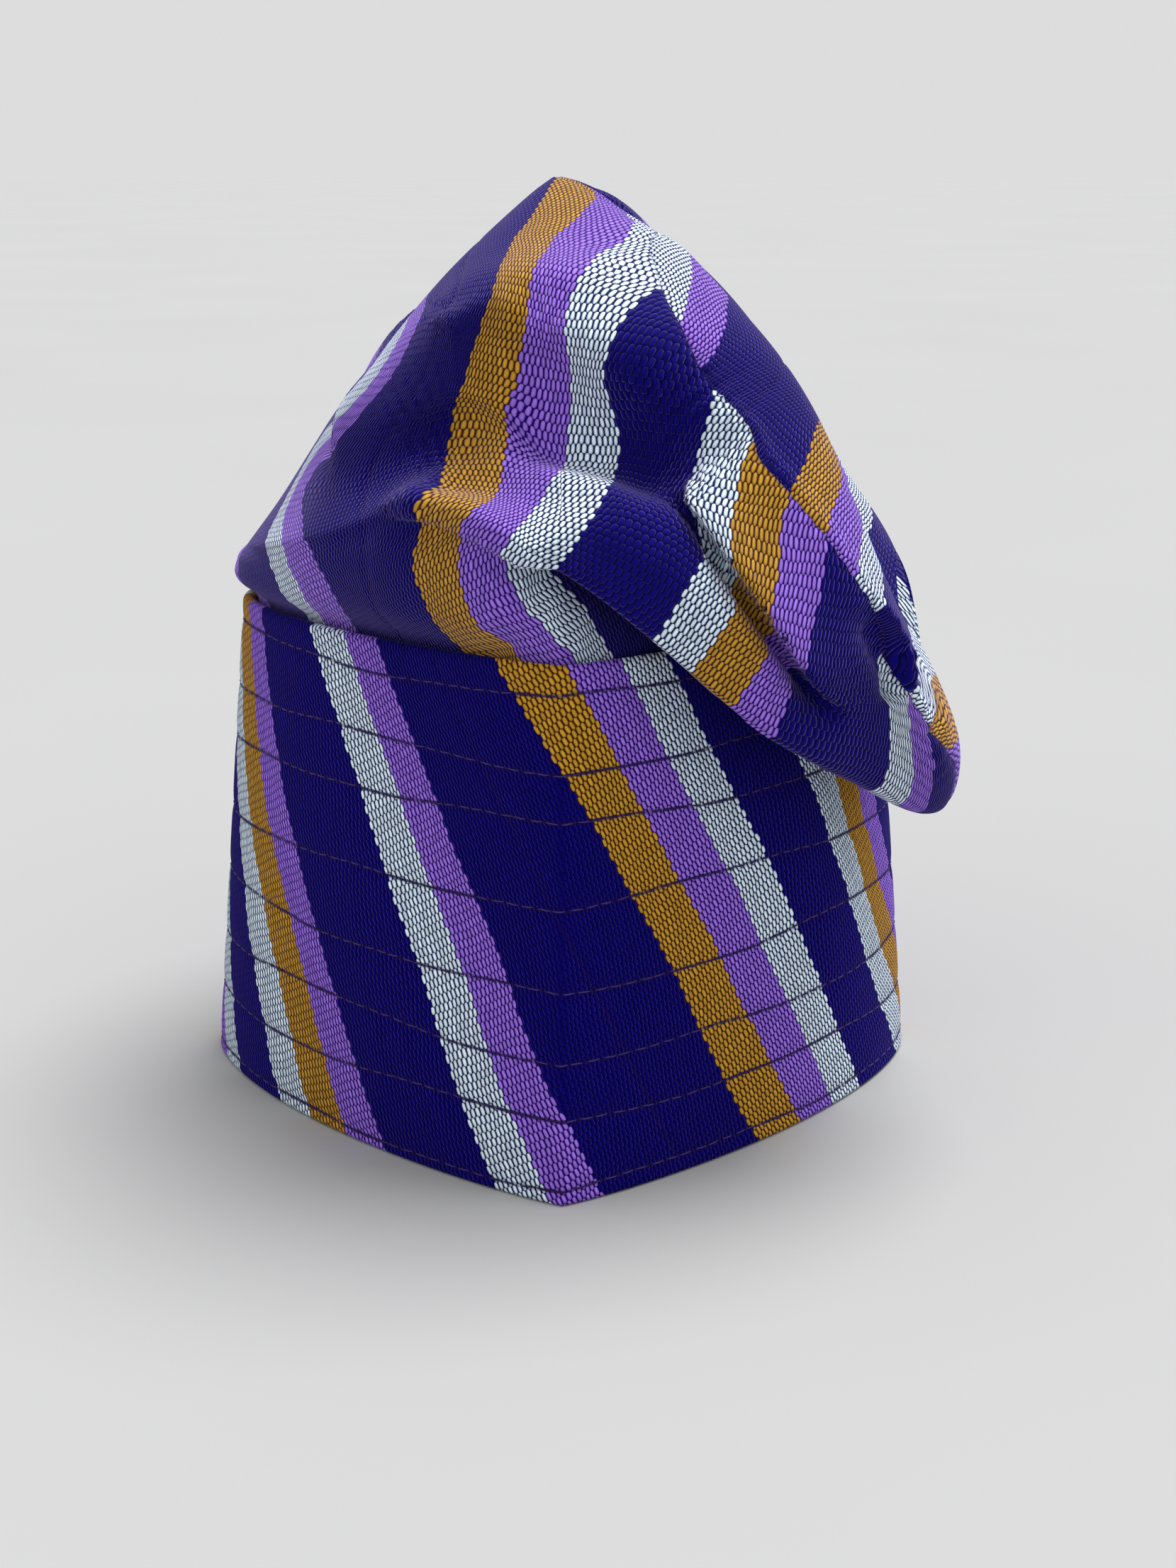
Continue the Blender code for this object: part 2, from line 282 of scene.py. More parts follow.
# The weave. Pitches are in millimetres, a bead's half width and length are shares of its pitch, and its
# height is in metres. The wobble moves picks and ends by a soft noise.
END_PITCH = 1.28
PICK_PITCH = 1.9
BEAD_HALF_WIDTH = 0.37
BEAD_HALF_LENGTH = 0.54
BEAD_ROUNDING = {"across": 2.4, "along": 3.0}
BEAD_LEAN = 0.05
# Below BEAD_EDGE of a bead's height its colour fades into the between-beads tone: painted shade at its rim.
BEAD_EDGE = 0.35
BEAD_HEIGHT = 0.0005
WOBBLE = {"scale": 0.11, "picks": 0.7, "across": 0.9}
# Random tones by bead and by end, then painted shade and light: low at a bead's rim, rising by raised to its
# crown.
TONES_AND_PAINTED_SHADE = {"least": 0.84, "by_bead": 0.22, "by_end": 0.14, "low": 0.70, "raised": 0.34}
CLOTH_ROUGHNESS = 0.9
SHEEN_TINT = (0.66, 0.52, 1.0)

# Once in each repeat, at JOIN_PLACE, two strips are sewn together edge to edge. Along stitch rows, seams and
# joins the cloth gets painted shade, standing in for the shadow in their grooves. A line is the distance
# from a seam at which that painted shade begins to fade and where it is gone.
JOIN_PLACE = -22.0
JOIN_DEPTH = 0.35
JOIN_WIDTH = 1.1
JOIN_LINE = (0.10, 0.60)
JOIN_PAINTED_SHADE_SHARE = 0.5
SEAM_LINE = (0.20, 0.70)
# The colour of the painted shade in those grooves.
PAINTED_GROOVE_SHADE = (0.012, 0.004, 0.055)


def weave(wire, s, t):
    """Bead colour with painted rim shade, and bead height, of warp-faced plain weave.

    Picks cross the cloth every PICK_PITCH along it. In each, every second warp end shows as a long
    bead, so beads stand END_PITCH apart and shift by half of that from pick to pick. A bead is longer
    than its pick, so its ends lie between the beads of the next picks. The two lots of picks, odd and
    even, are worked out apart, and the taller bead shows.
    """
    spot = wire.node("ShaderNodeCombineXYZ", None, {0: s, 1: t})
    wobble = wire.node("ShaderNodeTexNoise", {"noise_dimensions": "2D"},
                       {"Vector": spot, "Scale": WOBBLE["scale"], "Detail": 1.0})
    t = t / PICK_PITCH + (wobble - 0.5) * WOBBLE["picks"]
    s = s + (wobble - 0.5) * WOBBLE["across"]
    lots = []
    for lag in (0.0, 0.5):
        column = s / END_PITCH + lag
        pair = t * 0.5 + lag
        end = column.math("FLOOR", column)
        pick = pair.math("FLOOR", pair)
        along = (pair - pick - 0.5) * 2.0
        across = column - end - 0.5 + along * BEAD_LEAN
        reach = (abs(across) / BEAD_HALF_WIDTH) ** BEAD_ROUNDING["across"]
        reach = reach + (abs(along) / BEAD_HALF_LENGTH) ** BEAD_ROUNDING["along"]
        lots.append((end - lag, pick * 2.0 + lag, 1.0 - reach))
    upper = lots[1][2] > lots[0][2]
    end, pick, rise = [even + upper * (odd - even) for even, odd in zip(*lots)]
    dome = rise.math("MAXIMUM", rise, 0.0) ** 0.5
    chance = wire.node("ShaderNodeTexWhiteNoise", {"noise_dimensions": "2D"},
                       {"Vector": wire.node("ShaderNodeCombineXYZ", None, {0: end, 1: pick})})
    end_chance = wire.node("ShaderNodeTexWhiteNoise", {"noise_dimensions": "1D"}, {"W": end * 2.0})
    place = (end + 0.5) * END_PITCH / STRIPE_REPEAT
    place = place.math("FRACT", place)
    # Tops are the yarns' own tones; bottoms, between beads, are the weft's dark colour with painted shade.
    tops, bottoms = [[(a, YARNS_AND_PAINTED_GAP_SHADE[n][k]) for a, (n, _) in zip(STRIPE_STARTS, STRIPES)] for k in range(2)]
    raised = wire.node("ShaderNodeValToRGB", {"stops": tops}, {0: place})
    deep = wire.node("ShaderNodeValToRGB", {"stops": bottoms}, {0: place})
    # Random tones, times painted shade that is darkest at a bead's rim and painted light brightest on its
    # crown.
    tone_and_painted_shade = TONES_AND_PAINTED_SHADE["least"] + chance * TONES_AND_PAINTED_SHADE["by_bead"] + end_chance * TONES_AND_PAINTED_SHADE["by_end"]
    tone_and_painted_shade = tone_and_painted_shade * (TONES_AND_PAINTED_SHADE["low"] + TONES_AND_PAINTED_SHADE["raised"] * dome)
    raised = wire.node("ShaderNodeVectorMath", {"operation": "SCALE"}, {0: raised, "Scale": tone_and_painted_shade})
    return dome.step(0.0, BEAD_EDGE).tint(deep, raised), dome


def cloth_material(name, panels, shine, sheen, painted_shade_strength):
    """Striped cloth. Each panel is an attribute: s, t and the distance from a seam, near which painted shade
    darkens it.

    Of two panels, the second shows where that distance is above nought.
    """
    material, shader, wire = new_material(name, CLOTH_ROUGHNESS, shine, sheen, SHEEN_TINT)
    places = []
    for panel in panels:
        reading = wire.node("ShaderNodeAttribute", {"attribute_name": panel}, output="Vector")
        first = wire.node("ShaderNodeSeparateXYZ", None, {0: reading})
        places.append([Wire(wire.tree, part) for part in first.socket.node.outputs])
    s, t, gap = places[0]
    if len(places) == 2:
        side = gap > 0.0
        s = s + side * (places[1][0] - s)
        t = t + side * (places[1][1] - t)
    colour, dome = weave(wire, s, t)
    # Painted shade along stitch rows and seams, and at each strip join, where their grooves would be in
    # shadow.
    painted_groove_shade_mask = (1.0 - abs(gap).step(*SEAM_LINE)) * painted_shade_strength
    join = (s - JOIN_PLACE) / STRIPE_REPEAT
    join = (join - join.math("ROUND", join)) * STRIPE_REPEAT
    painted_join_shade_mask = 1.0 - abs(join).step(*JOIN_LINE)
    painted_groove_shade_mask = painted_groove_shade_mask.math("MAXIMUM", painted_groove_shade_mask, painted_join_shade_mask * JOIN_PAINTED_SHADE_SHARE)
    feed(shader, "Base Color", painted_groove_shade_mask.tint(colour, PAINTED_GROOVE_SHADE))
    bump = wire.node("ShaderNodeBump", None, {"Height": dome, "Distance": BEAD_HEIGHT, "Strength": 1.0})
    feed(shader, "Normal", bump)
    return material


def signed_turn(angle):
    """The same angle brought between minus and plus half a turn."""
    return (angle + math.pi) % TURN - math.pi


def band_outline(az, rise):
    """Distance from the axis to the band's outer face, where rise is 0 at the hem and 1 at the top.

    A rounded lozenge, by the sum of its two shares to a power, and a point that fades away from each of
    the two pressed folds.
    """
    side = SIDE_HALF["hem"] + (SIDE_HALF["top"] - SIDE_HALF["hem"]) * rise
    front = FRONT_HALF["hem"] + (FRONT_HALF["top"] - FRONT_HALF["hem"]) * rise
    reach = CREASE_REACH["hem"] + (CREASE_REACH["top"] - CREASE_REACH["hem"]) * rise
    across = (np.abs(np.sin(az)) / side) ** OUTLINE_SQUARENESS
    along = (np.hypot(np.cos(az), SIDE_ROUNDING) / front) ** OUTLINE_SQUARENESS
    front_fold = np.exp(-np.abs(signed_turn(az)) / CREASE_SPREAD)
    back_fold = np.exp(-np.abs(signed_turn(az - math.pi)) / CREASE_SPREAD)
    return (across + along) ** (-1.0 / OUTLINE_SQUARENESS) + reach * (front_fold + back_fold)


def stitch_height(row, az):
    """Height of a stitch row: its own height and a few small waves, as the cap was turned by hand."""
    height = STITCH_ROWS[row]
    for waves, reach, shift in STITCH_WANDER:
        height = height + reach * np.sin(waves * az + shift * row)
    return height


def pucker(az, z):
    """How far the stitching draws the outer face in: the sum of a narrow trough along each row."""
    depth = np.zeros(np.broadcast(az, z).shape)
    for row in range(len(STITCH_ROWS)):
        away = np.abs(z - stitch_height(row, az))
        depth += PUCKER_DEPTH * np.exp(-(away / PUCKER_WIDTH) ** PUCKER_SHARPNESS)
    return depth


def band_point(az, z, out=0.0):
    """A place on the band's outer face at an azimuth and a height, moved outward by a little."""
    radius = band_outline(az, np.clip(z, 0.0, BAND_HEIGHT) / BAND_HEIGHT) + out
    return np.stack(np.broadcast_arrays(radius * np.sin(az), -radius * np.cos(az), z + 0.0 * az), -1)


# A sighting is looked for within SIGHT_REACH pixels, on the nearest layer of cloth, which is LAYER_DEPTH
# deep. FAR stands for a place that isn't taken.
SIGHT_REACH = 7.0
LAYER_DEPTH = 8.0
FAR = 1e9


def unit(vectors):
    """Each vector divided by its own length."""
    return vectors / np.maximum(np.linalg.norm(vectors, axis=-1, keepdims=True), 1e-9)


def bend(distance):
    """How a thin plate bends round one place: the distance squared, times its logarithm."""
    return distance**2 * np.log(np.maximum(distance, 1e-6))


def path_lengths(path):
    """Length along a path from its first point to each point: the sum of the steps before it."""
    return np.concatenate(([0.0], np.cumsum(np.linalg.norm(np.diff(path, axis=0), axis=1))))


def thin_plate(known, values, wanted, stiffness):
    """Smoothest surface through scattered values: a plane plus a bend round each known place."""
    count = len(known)
    gaps = np.linalg.norm(known[:, None] - known[None], axis=-1)
    plane = np.column_stack((np.ones(count), known))
    system = np.block([[bend(gaps) + stiffness * np.eye(count), plane], [plane.T, np.zeros((3, 3))]])
    weights = np.linalg.solve(system, np.concatenate((values, np.zeros(3))))
    flat = wanted.reshape(-1, 2)
    found = np.column_stack((np.ones(len(flat)), flat)) @ weights[count:]
    for centre, weight in zip(known, weights[:count]):
        found += weight * bend(np.linalg.norm(flat - centre, axis=1))
    return found.reshape(wanted.shape[:-1])


def place_in_grid(points, pixels):
    """Grid row and column, with fractions, of the nearest visible place to each pixel."""
    seen, depth = in_picture(points)
    up = np.gradient(points, axis=0)
    ring = np.gradient(points, axis=1)
    facing = (np.cross(ring, up) * (points - camera_axes()[0])).sum(-1) < 0.0
    found = []
    for pixel in pixels:
        away = np.linalg.norm(seen - pixel, axis=-1)
        near = facing & (away < away[facing].min() + SIGHT_REACH)
        nearest = depth[near].min()
        pick = np.where(near & (depth < nearest + LAYER_DEPTH), away, FAR)
        i, j = np.unravel_index(pick.argmin(), pick.shape)
        i = min(max(i, 1), len(points) - 2)
        j = min(max(j, 1), points.shape[1] - 2)
        by_row = (seen[i + 1, j] - seen[i - 1, j]) / 2.0
        by_column = (seen[i, j + 1] - seen[i, j - 1]) / 2.0
        slope = np.stack((by_row, by_column), -1)
        step = np.clip(np.linalg.lstsq(slope, pixel - seen[i, j], rcond=1e-3)[0], -1.0, 1.0)
        found.append((i + step[0], j + step[1]))
    return np.array(found)


def read_grid(values, places):
    """Values of a grid at fractional rows and columns, straight between the four nearest."""
    i = np.clip(places[:, 0].astype(int), 0, values.shape[0] - 2)
    j = np.clip(places[:, 1].astype(int), 0, values.shape[1] - 2)
    u = (places[:, 0] - i)[:, None]
    v = (places[:, 1] - j)[:, None]
    low = values[i, j] * (1 - v) + values[i, j + 1] * v
    high = values[i + 1, j] * (1 - v) + values[i + 1, j + 1] * v
    return low * (1 - u) + high * u


def stripe_places(points, flat, sightings, stiffness, hidden=None):
    """Length across the cloth for a whole grid, from the places where the stripes' edges are seen.

    Points are the grid in space and flat is the same grid laid out flat. A thin plate joins the sightings
    and any hidden places, which are rows of length across, grid row and grid column.
    """
    across = np.concatenate([[float(edge)] * (len(pixels) // 2) for edge, pixels in sightings])
    pixels = np.concatenate([np.array(pixels, float).reshape(-1, 2) for _, pixels in sightings])
    places = place_in_grid(points, pixels)
    if hidden is not None:
        across = np.concatenate((across, hidden[:, 0]))
        places = np.concatenate((places, hidden[:, 1:]))
    return thin_plate(read_grid(flat, places), across, flat, stiffness)


# Centres of the bends in the length along the cloth are this many rows and columns of the grid apart.
# Its slopes are fitted at every SAMPLE_STEP rows and columns, and the bends are counted in BEND_UNIT.
ALONG_STEPS = (40, 60)
SAMPLE_EDGE = 2
SAMPLE_STEP = 4
BEND_UNIT = 1000.0


def lengths_along(points, flat, across, inside):
    """Length along the cloth for a whole grid: it grows by one for each millimetre along the stripes.

    It is a plane and a bend round each centre. Least squares inside the panel fits its slope along the
    stripes to one and its slope across them to nought, and the whole is then scaled so that the middle
    one of its slopes along the stripes is one.
    """
    up = np.gradient(points, axis=0)
    ring = np.gradient(points, axis=1)
    across_up = np.gradient(across, axis=0)
    across_ring = np.gradient(across, axis=1)
    uu = (up * up).sum(-1)
    ur = (up * ring).sum(-1)
    rr = (ring * ring).sum(-1)
    area = np.maximum(uu * rr - ur * ur, 1e-9)
    slope = ((rr * across_up - ur * across_ring) / area)[..., None] * up
    slope += ((uu * across_ring - ur * across_up) / area)[..., None] * ring
    slope = unit(slope)
    heading = np.cross(slope, unit(np.cross(ring, up)))
    spaced = (slice(None, None, ALONG_STEPS[0]), slice(None, None, ALONG_STEPS[1]))
    centres = flat[spaced][inside[spaced]]

    def terms(places):
        distance = np.linalg.norm(places[:, None] - centres, axis=-1)
        return np.column_stack((places, bend(distance) / BEND_UNIT))

    every = (slice(SAMPLE_EDGE, -SAMPLE_EDGE, SAMPLE_STEP),) * 2
    wanted_here = inside[every]
    here = terms(flat[every][wanted_here])
    steps = []
    for shift in ((1, 0), (0, 1)):
        beside = tuple(slice(SAMPLE_EDGE + one, one - SAMPLE_EDGE, SAMPLE_STEP) for one in shift)
        steps.append(terms(flat[beside][wanted_here]) - here)
    rows = []
    wanted = []
    for direction, target in ((heading, 1.0), (slope, 0.0)):
        by_up = (direction * up).sum(-1)
        by_ring = (direction * ring).sum(-1)
        share_up = ((rr * by_up - ur * by_ring) / area)[every][wanted_here][:, None]
        share_ring = ((uu * by_ring - ur * by_up) / area)[every][wanted_here][:, None]
        rows.append(share_up * steps[0] + share_ring * steps[1])
        wanted.append(np.full(len(here), target))
    weights = np.linalg.lstsq(np.concatenate(rows), np.concatenate(wanted), rcond=1e-5)[0]
    weights /= np.median(rows[0] @ weights)
    return np.array([terms(line) @ weights for line in flat])


# Where the stripes' edges show on the band in the photograph: the length across the cloth at the edge,
# then the places, in pixels right and down, where the edge was seen.
BAND_SIGHTINGS = (
    (-156.5, (324, 1250, 327, 1400)),
    (-135.5, (335, 1100, 340, 1200, 348, 1300, 364, 1400, 381, 1500)),
    (-123.8, (343, 1050, 351, 1150, 366, 1250, 385, 1350, 407, 1450, 430, 1550)),
    (-111.1, (357, 950, 364, 1050, 376, 1150, 398, 1250, 422, 1350, 445, 1450, 470, 1550)),
    (-98.4, (372, 900, 382, 1000, 397, 1100, 417, 1200, 442, 1300, 470, 1400, 500, 1500, 535, 1600)),
    (-68.4, (438, 900, 470, 1000, 502, 1100, 532, 1200, 565, 1300, 600, 1400, 630, 1500, 665, 1600)),
    (-56.7, (485, 900, 517, 1000, 552, 1100, 587, 1200, 625, 1300, 660, 1400, 690, 1500, 730, 1600)),
    (-44.0, (529, 900, 565, 1000, 605, 1100, 640, 1200, 685, 1300, 722, 1400, 755, 1500, 802, 1586)),
    (0.0, (705, 950, 768, 1050, 831, 1150, 885, 1250, 942, 1350, 987, 1450, 1036, 1550)),
    (12.7, (804, 950, 859, 1050, 907, 1150, 960, 1250, 1016, 1350, 1063, 1450, 1112, 1550)),
    (25.4, (881, 950, 930, 1050, 984, 1150, 1036, 1250, 1079, 1350, 1128, 1450, 1171, 1550)),
    (37.1, (950, 950, 996, 1050, 1045, 1150, 1096, 1250, 1137, 1350, 1177, 1450, 1216, 1550)),
    (58.1, (1130, 1075, 1163, 1150, 1196, 1250, 1224, 1350, 1256, 1450)),
    (69.8, (1180, 1100, 1191, 1150, 1220, 1250, 1247, 1350)),
    (82.5, (1217, 1150, 1241, 1250, 1264, 1330)),
)
BAND_STIFFNESS = 60.0

band_az = np.linspace(-math.pi, math.pi, BAND_COLUMNS + 1)
band_z = np.linspace(0.0, BAND_HEIGHT, BAND_ROWS + 1)
face = band_point(band_az[None, :], band_z[:, None])
round_it = path_lengths(face[BAND_ROWS // 2])
round_it -= np.interp(0.0, band_az, round_it)
band_flat = np.stack(np.broadcast_arrays(round_it[None, :], band_z[:, None]), -1)
band_across = stripe_places(face, band_flat, BAND_SIGHTINGS, BAND_STIFFNESS)
band_along = lengths_along(face, band_flat, band_across, np.full(band_across.shape, True))

turn_steps = np.linspace(0.0, math.pi, ROLL_STEPS + 2)[1:-1]
roll = BAND_WALL / 2
profile_z = np.concatenate((
    np.linspace(roll, BAND_HEIGHT - roll, BAND_ROWS + 1),
    BAND_HEIGHT - roll + roll * np.sin(turn_steps),
    np.linspace(BAND_HEIGHT - roll, roll, BAND_INSIDE_ROWS + 1),
    roll - roll * np.sin(turn_steps),
))
profile_out = np.concatenate((
    np.zeros(BAND_ROWS + 1),
    roll * np.cos(turn_steps) - roll,
    np.full(BAND_INSIDE_ROWS + 1, -BAND_WALL),
    -roll * np.cos(turn_steps) - roll,
))
columns_az = band_az[:-1]
is_outer = np.zeros(len(profile_z))
is_outer[:BAND_ROWS + 1] = 1.0
level_of = np.clip(profile_z / BAND_HEIGHT * BAND_ROWS, 0, BAND_ROWS)
band_reading = np.stack((band_across, band_along), -1)
places = np.stack(np.broadcast_arrays(level_of[:, None], np.arange(BAND_COLUMNS)[None, :]), -1)
band_st = read_grid(band_reading, places.reshape(-1, 2)).reshape(len(profile_z), BAND_COLUMNS, 2)


def join_groove(across):
    """Depth of the groove where two strips of the cloth are joined: a narrow bell once in each repeat."""
    away = (across - JOIN_PLACE) / STRIPE_REPEAT
    away = (away - np.round(away)) * STRIPE_REPEAT
    return JOIN_DEPTH * np.exp(-(away / JOIN_WIDTH) ** 2)


drawn_in = pucker(columns_az[None, :], profile_z[:, None]) + join_groove(band_st[..., 0])
from_back = np.abs(signed_turn(columns_az - math.pi)) * SIDE_HALF["hem"]
back_seam = BACK_SEAM["depth"] * np.exp(-(from_back / BACK_SEAM["width"]) ** 2)
band_out = profile_out[:, None] - is_outer[:, None] * (drawn_in + back_seam[None, :])
band_vertices = band_point(columns_az[None, :], profile_z[:, None], band_out)
# Distance from the nearest stitch row, which sets the painted shade of its groove.
row_gap = np.stack([np.abs(profile_z[:, None] - stitch_height(row, columns_az[None, :]))
                    for row in range(len(STITCH_ROWS))]).min(0)
row_gap = np.where(is_outer[:, None] > 0, row_gap, NO_STITCH)
band_cloth_at = np.concatenate((band_st, row_gap[..., None]), -1).reshape(-1, 3)


def ring_faces(rows, columns, closed):
    """Quads of a grid whose columns close round, and whose rows close too where the profile is a loop."""
    low = np.arange(rows if closed else rows - 1)
    high = (low + 1) % rows
    here = np.arange(columns)
    there = (here + 1) % columns
    corners = (low[:, None] * columns + here, low[:, None] * columns + there,
               high[:, None] * columns + there, high[:, None] * columns + here)
    return np.stack(corners, -1).reshape(-1, 4)


band_cloth = cloth_material("band cloth", ("cloth",), shine=0.0, sheen=0.13, painted_shade_strength=0.9)
band_faces = ring_faces(len(profile_z), BAND_COLUMNS, True)
band = grid_mesh("striped_band", band_vertices.reshape(-1, 3), (band_faces,), band_cloth,
                 {"cloth": band_cloth_at})
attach(band, "root")
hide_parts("band")


# Band stitching: eight rows of lockstitch in dark purple thread, which hold the band's layers together.
# Each stitch is a short bowed length of thread that dips into the cloth at both ends. The thread's colour
# is painted by the stripe under it: its own dark tone over the light stripes, and a paler tone over the
# dark cloth, which is painted sheen.
STITCH_PITCH = 4.0
STITCH_SHARE = 0.80
THREAD_RADIUS = 0.19
STITCH_BOW = 0.22
STITCH_DIP = 0.10
STITCH_SWAY = 0.16
STITCH_UNEVEN = {"share": 0.075, "by_stitch": 2.4, "by_row": 1.3}
STITCH_POINTS = 6
THREAD_SIDES = 6
THREAD_ENDS = {"cut": 0.06, "least": 0.3, "taper": 0.4}
# Thread tones by the stripe under it: over dark stripes a paler painted sheen, over light ones its own dark
# colour.
THREAD_TONES_AND_PAINTED_SHEEN = {"dark": (0.034, 0.020, 0.165), "light": (0.010, 0.003, 0.070)}

round_length = path_lengths(band_point(band_az, np.full_like(band_az, BAND_HEIGHT / 2)))
stitch_count = int(round_length[-1] / STITCH_PITCH)
u = np.linspace(0.0, 1.0, STITCH_POINTS)
number = np.arange(stitch_count)
row_numbers = np.arange(len(STITCH_ROWS))
uneven = number[None, :] * STITCH_UNEVEN["by_stitch"] + row_numbers[:, None] * STITCH_UNEVEN["by_row"]
start = number[None, :] + 0.5 * (row_numbers[:, None] % 2) + STITCH_UNEVEN["share"] * np.sin(uneven)
length_at = (start[..., None] + STITCH_SHARE * u) / stitch_count * round_length[-1] % round_length[-1]
thread_az = np.interp(length_at, round_length, band_az)
thread_z = np.stack([stitch_height(row, thread_az[row]) for row in row_numbers])
thread_z += STITCH_SWAY * np.where(number % 2 > 0, 1.0, -1.0)[None, :, None] * (u - 0.5)
bow = STITCH_BOW * np.sin(math.pi * u) - STITCH_DIP
thread_path = band_point(thread_az, thread_z, bow - PUCKER_DEPTH)


def along_path(path, radius, sides):
    """Tubes of round thread, each along its own path: rings at right angles to it, of the given radii."""
    run = unit(np.gradient(path, axis=-2))
    side = unit(np.cross(run, (0.0, 0.0, 1.0)))
    over = np.cross(side, run)
    turn = np.linspace(0.0, TURN, sides, endpoint=False)[:, None]
    ring = side[..., None, :] * np.cos(turn) + over[..., None, :] * np.sin(turn)
    vertices = path[..., None, :] + ring * radius[..., None, None]
    tubes = int(np.prod(path.shape[:-2]))
    count = path.shape[-2]
    first = np.arange(tubes)[:, None, None] * count * sides
    low = np.arange(count - 1)[None, :, None] * sides
    here = np.arange(sides)[None, None, :]
    there = (here + 1) % sides
    walls = np.stack((first + low + here, first + low + sides + here, first + low + sides + there,
                      first + low + there), -1).reshape(-1, 4)
    starts = (first + here)[:, 0]
    ends = (first + (count - 1) * sides + here)[:, 0, ::-1]
    return vertices.reshape(-1, 3), (walls, starts, ends)


thickness = np.sin(math.pi * (THREAD_ENDS["cut"] + (1.0 - 2.0 * THREAD_ENDS["cut"]) * u))
thickness = THREAD_RADIUS * np.maximum(thickness, THREAD_ENDS["least"]) ** THREAD_ENDS["taper"]
thickness = np.broadcast_to(thickness, thread_z.shape)
thread_vertices, thread_faces = along_path(thread_path, thickness, THREAD_SIDES)
thread_places = np.stack((np.clip(thread_z / BAND_HEIGHT * BAND_ROWS, 0, BAND_ROWS),
                          np.interp(thread_az, band_az, np.arange(BAND_COLUMNS + 1))), -1).reshape(-1, 2)
thread_st = np.repeat(read_grid(band_reading, thread_places), THREAD_SIDES, axis=0)
thread_material, shader, wire = new_material("stitching thread", roughness=0.55)
reading = wire.node("ShaderNodeAttribute", {"attribute_name": "cloth"}, output="Vector")
across = wire.node("ShaderNodeSeparateXYZ", None, {0: reading}) / STRIPE_REPEAT
place = across.math("FRACT", across)
# Painted sheen: over the dark stripes the thread takes a paler tone, over the others its own dark one.
under = [(a, THREAD_TONES_AND_PAINTED_SHEEN["dark" if n == "dark" else "light"]) for a, (n, _) in zip(STRIPE_STARTS, STRIPES)]
feed(shader, "Base Color", wire.node("ShaderNodeValToRGB", {"stops": under}, {0: place}))
stitching = grid_mesh("band_stitching", thread_vertices, thread_faces, thread_material,
                      {"cloth": np.column_stack((thread_st, np.zeros(len(thread_st))))})
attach(stitching, "root")


# Crown: one soft bag of the same cloth in two panels, joined by a seam that runs from the tip of the
# droop, over the summit and down the back. It has no stiffening, so it folds under its own weight.
# Its root is sewn inside the band.
CROWN_WALL = 2.0
SEAT_GAP = 0.3
ROOT_DEPTH = 9.0
ROOT_RISE = 0.4
SUMMIT = {"x": -0.5, "y": 6.0, "z": 222.0}
SUMMIT_ROUNDING = 0.022
SUMMIT_DRIFT_START = 0.4
HEM_FOLD_WIDTH = 5.0
HEM_FOLD_RISE = 1.5
HEM_HANG = 12.0

# The crown's profile at each azimuth, in degrees. A place is named for where it lies on the cloth, from
# the neck at the band's top, by the tuck behind the hanging hem, to the shoulder under the summit. Its
# distance is out from the band's rim, or in _r from the axis, and z is its height.
SECTION_COLUMNS = ("azimuth", "neck_out", "neck_z", "tuck_out", "tuck_z", "hem_out", "hem_z",
                   "skirt_out", "skirt_z", "brow_r", "brow_z", "shoulder_r", "shoulder_z")
SECTIONS = (
    (-180, 2, 127, 3, 136, 1, 146, -4, 157, 70, 175, 46, 197),
    (-135, 2, 125, 3, 131, 2, 139, -2, 149, 59, 169, 36, 195),
    (-90, 1, 123, 1, 128, -3, 133, -9, 141, 50, 169, 19, 199),
    (-62, 2, 124, 4, 130, 4, 137, -2, 145, 58, 167, 31, 196),
    (-40, 4, 126, 9, 135, 9, 144, 1, 153, 65, 170, 41, 196),
    (-20, 4, 127, 8, 140, 6, 153, -8, 160, 64, 176, 48, 198),
    (-8, 2, 127, 4, 141, 7, 149, -3, 157, 66, 174, 50, 199),
    (3, -5, 128, -14, 141, 5, 137, 4, 149, 70, 172, 52, 198),
    (14, -8, 127, -18, 139, 12, 123, 14, 138, 74, 169, 54, 197),
    (28, -8, 127, -13, 140, 24, 103, 27, 119, 80, 164, 56, 196),
    (44, -7, 127, -8, 141, 26, 88, 32, 104, 88, 158, 53, 195),
    (60, -7, 127, -7, 141, 31, 77, 35, 91, 73, 151, 42, 195),
    (74, -11, 125, -15, 130, 18, 95, 15, 107, 70, 152, 39, 196),
    (90, -10, 125, -13, 129, 7, 124, 3, 134, 68, 156, 34, 197),
    (115, 0, 126, 1, 132, 5, 140, 2, 150, 66, 163, 32, 198),
    (145, 2, 127, 4, 135, 5, 144, 0, 154, 68, 173, 46, 198),
)

# Levels count up the cloth, from the root inside the band to the summit.
LEVELS = {"root": 0.0, "throat": 0.07, "neck": 0.12, "tuck": 0.21, "under": 0.33, "hem": 0.37,
          "skirt": 0.45, "brow": 0.63, "shoulder": 0.83, "summit": 1.0}

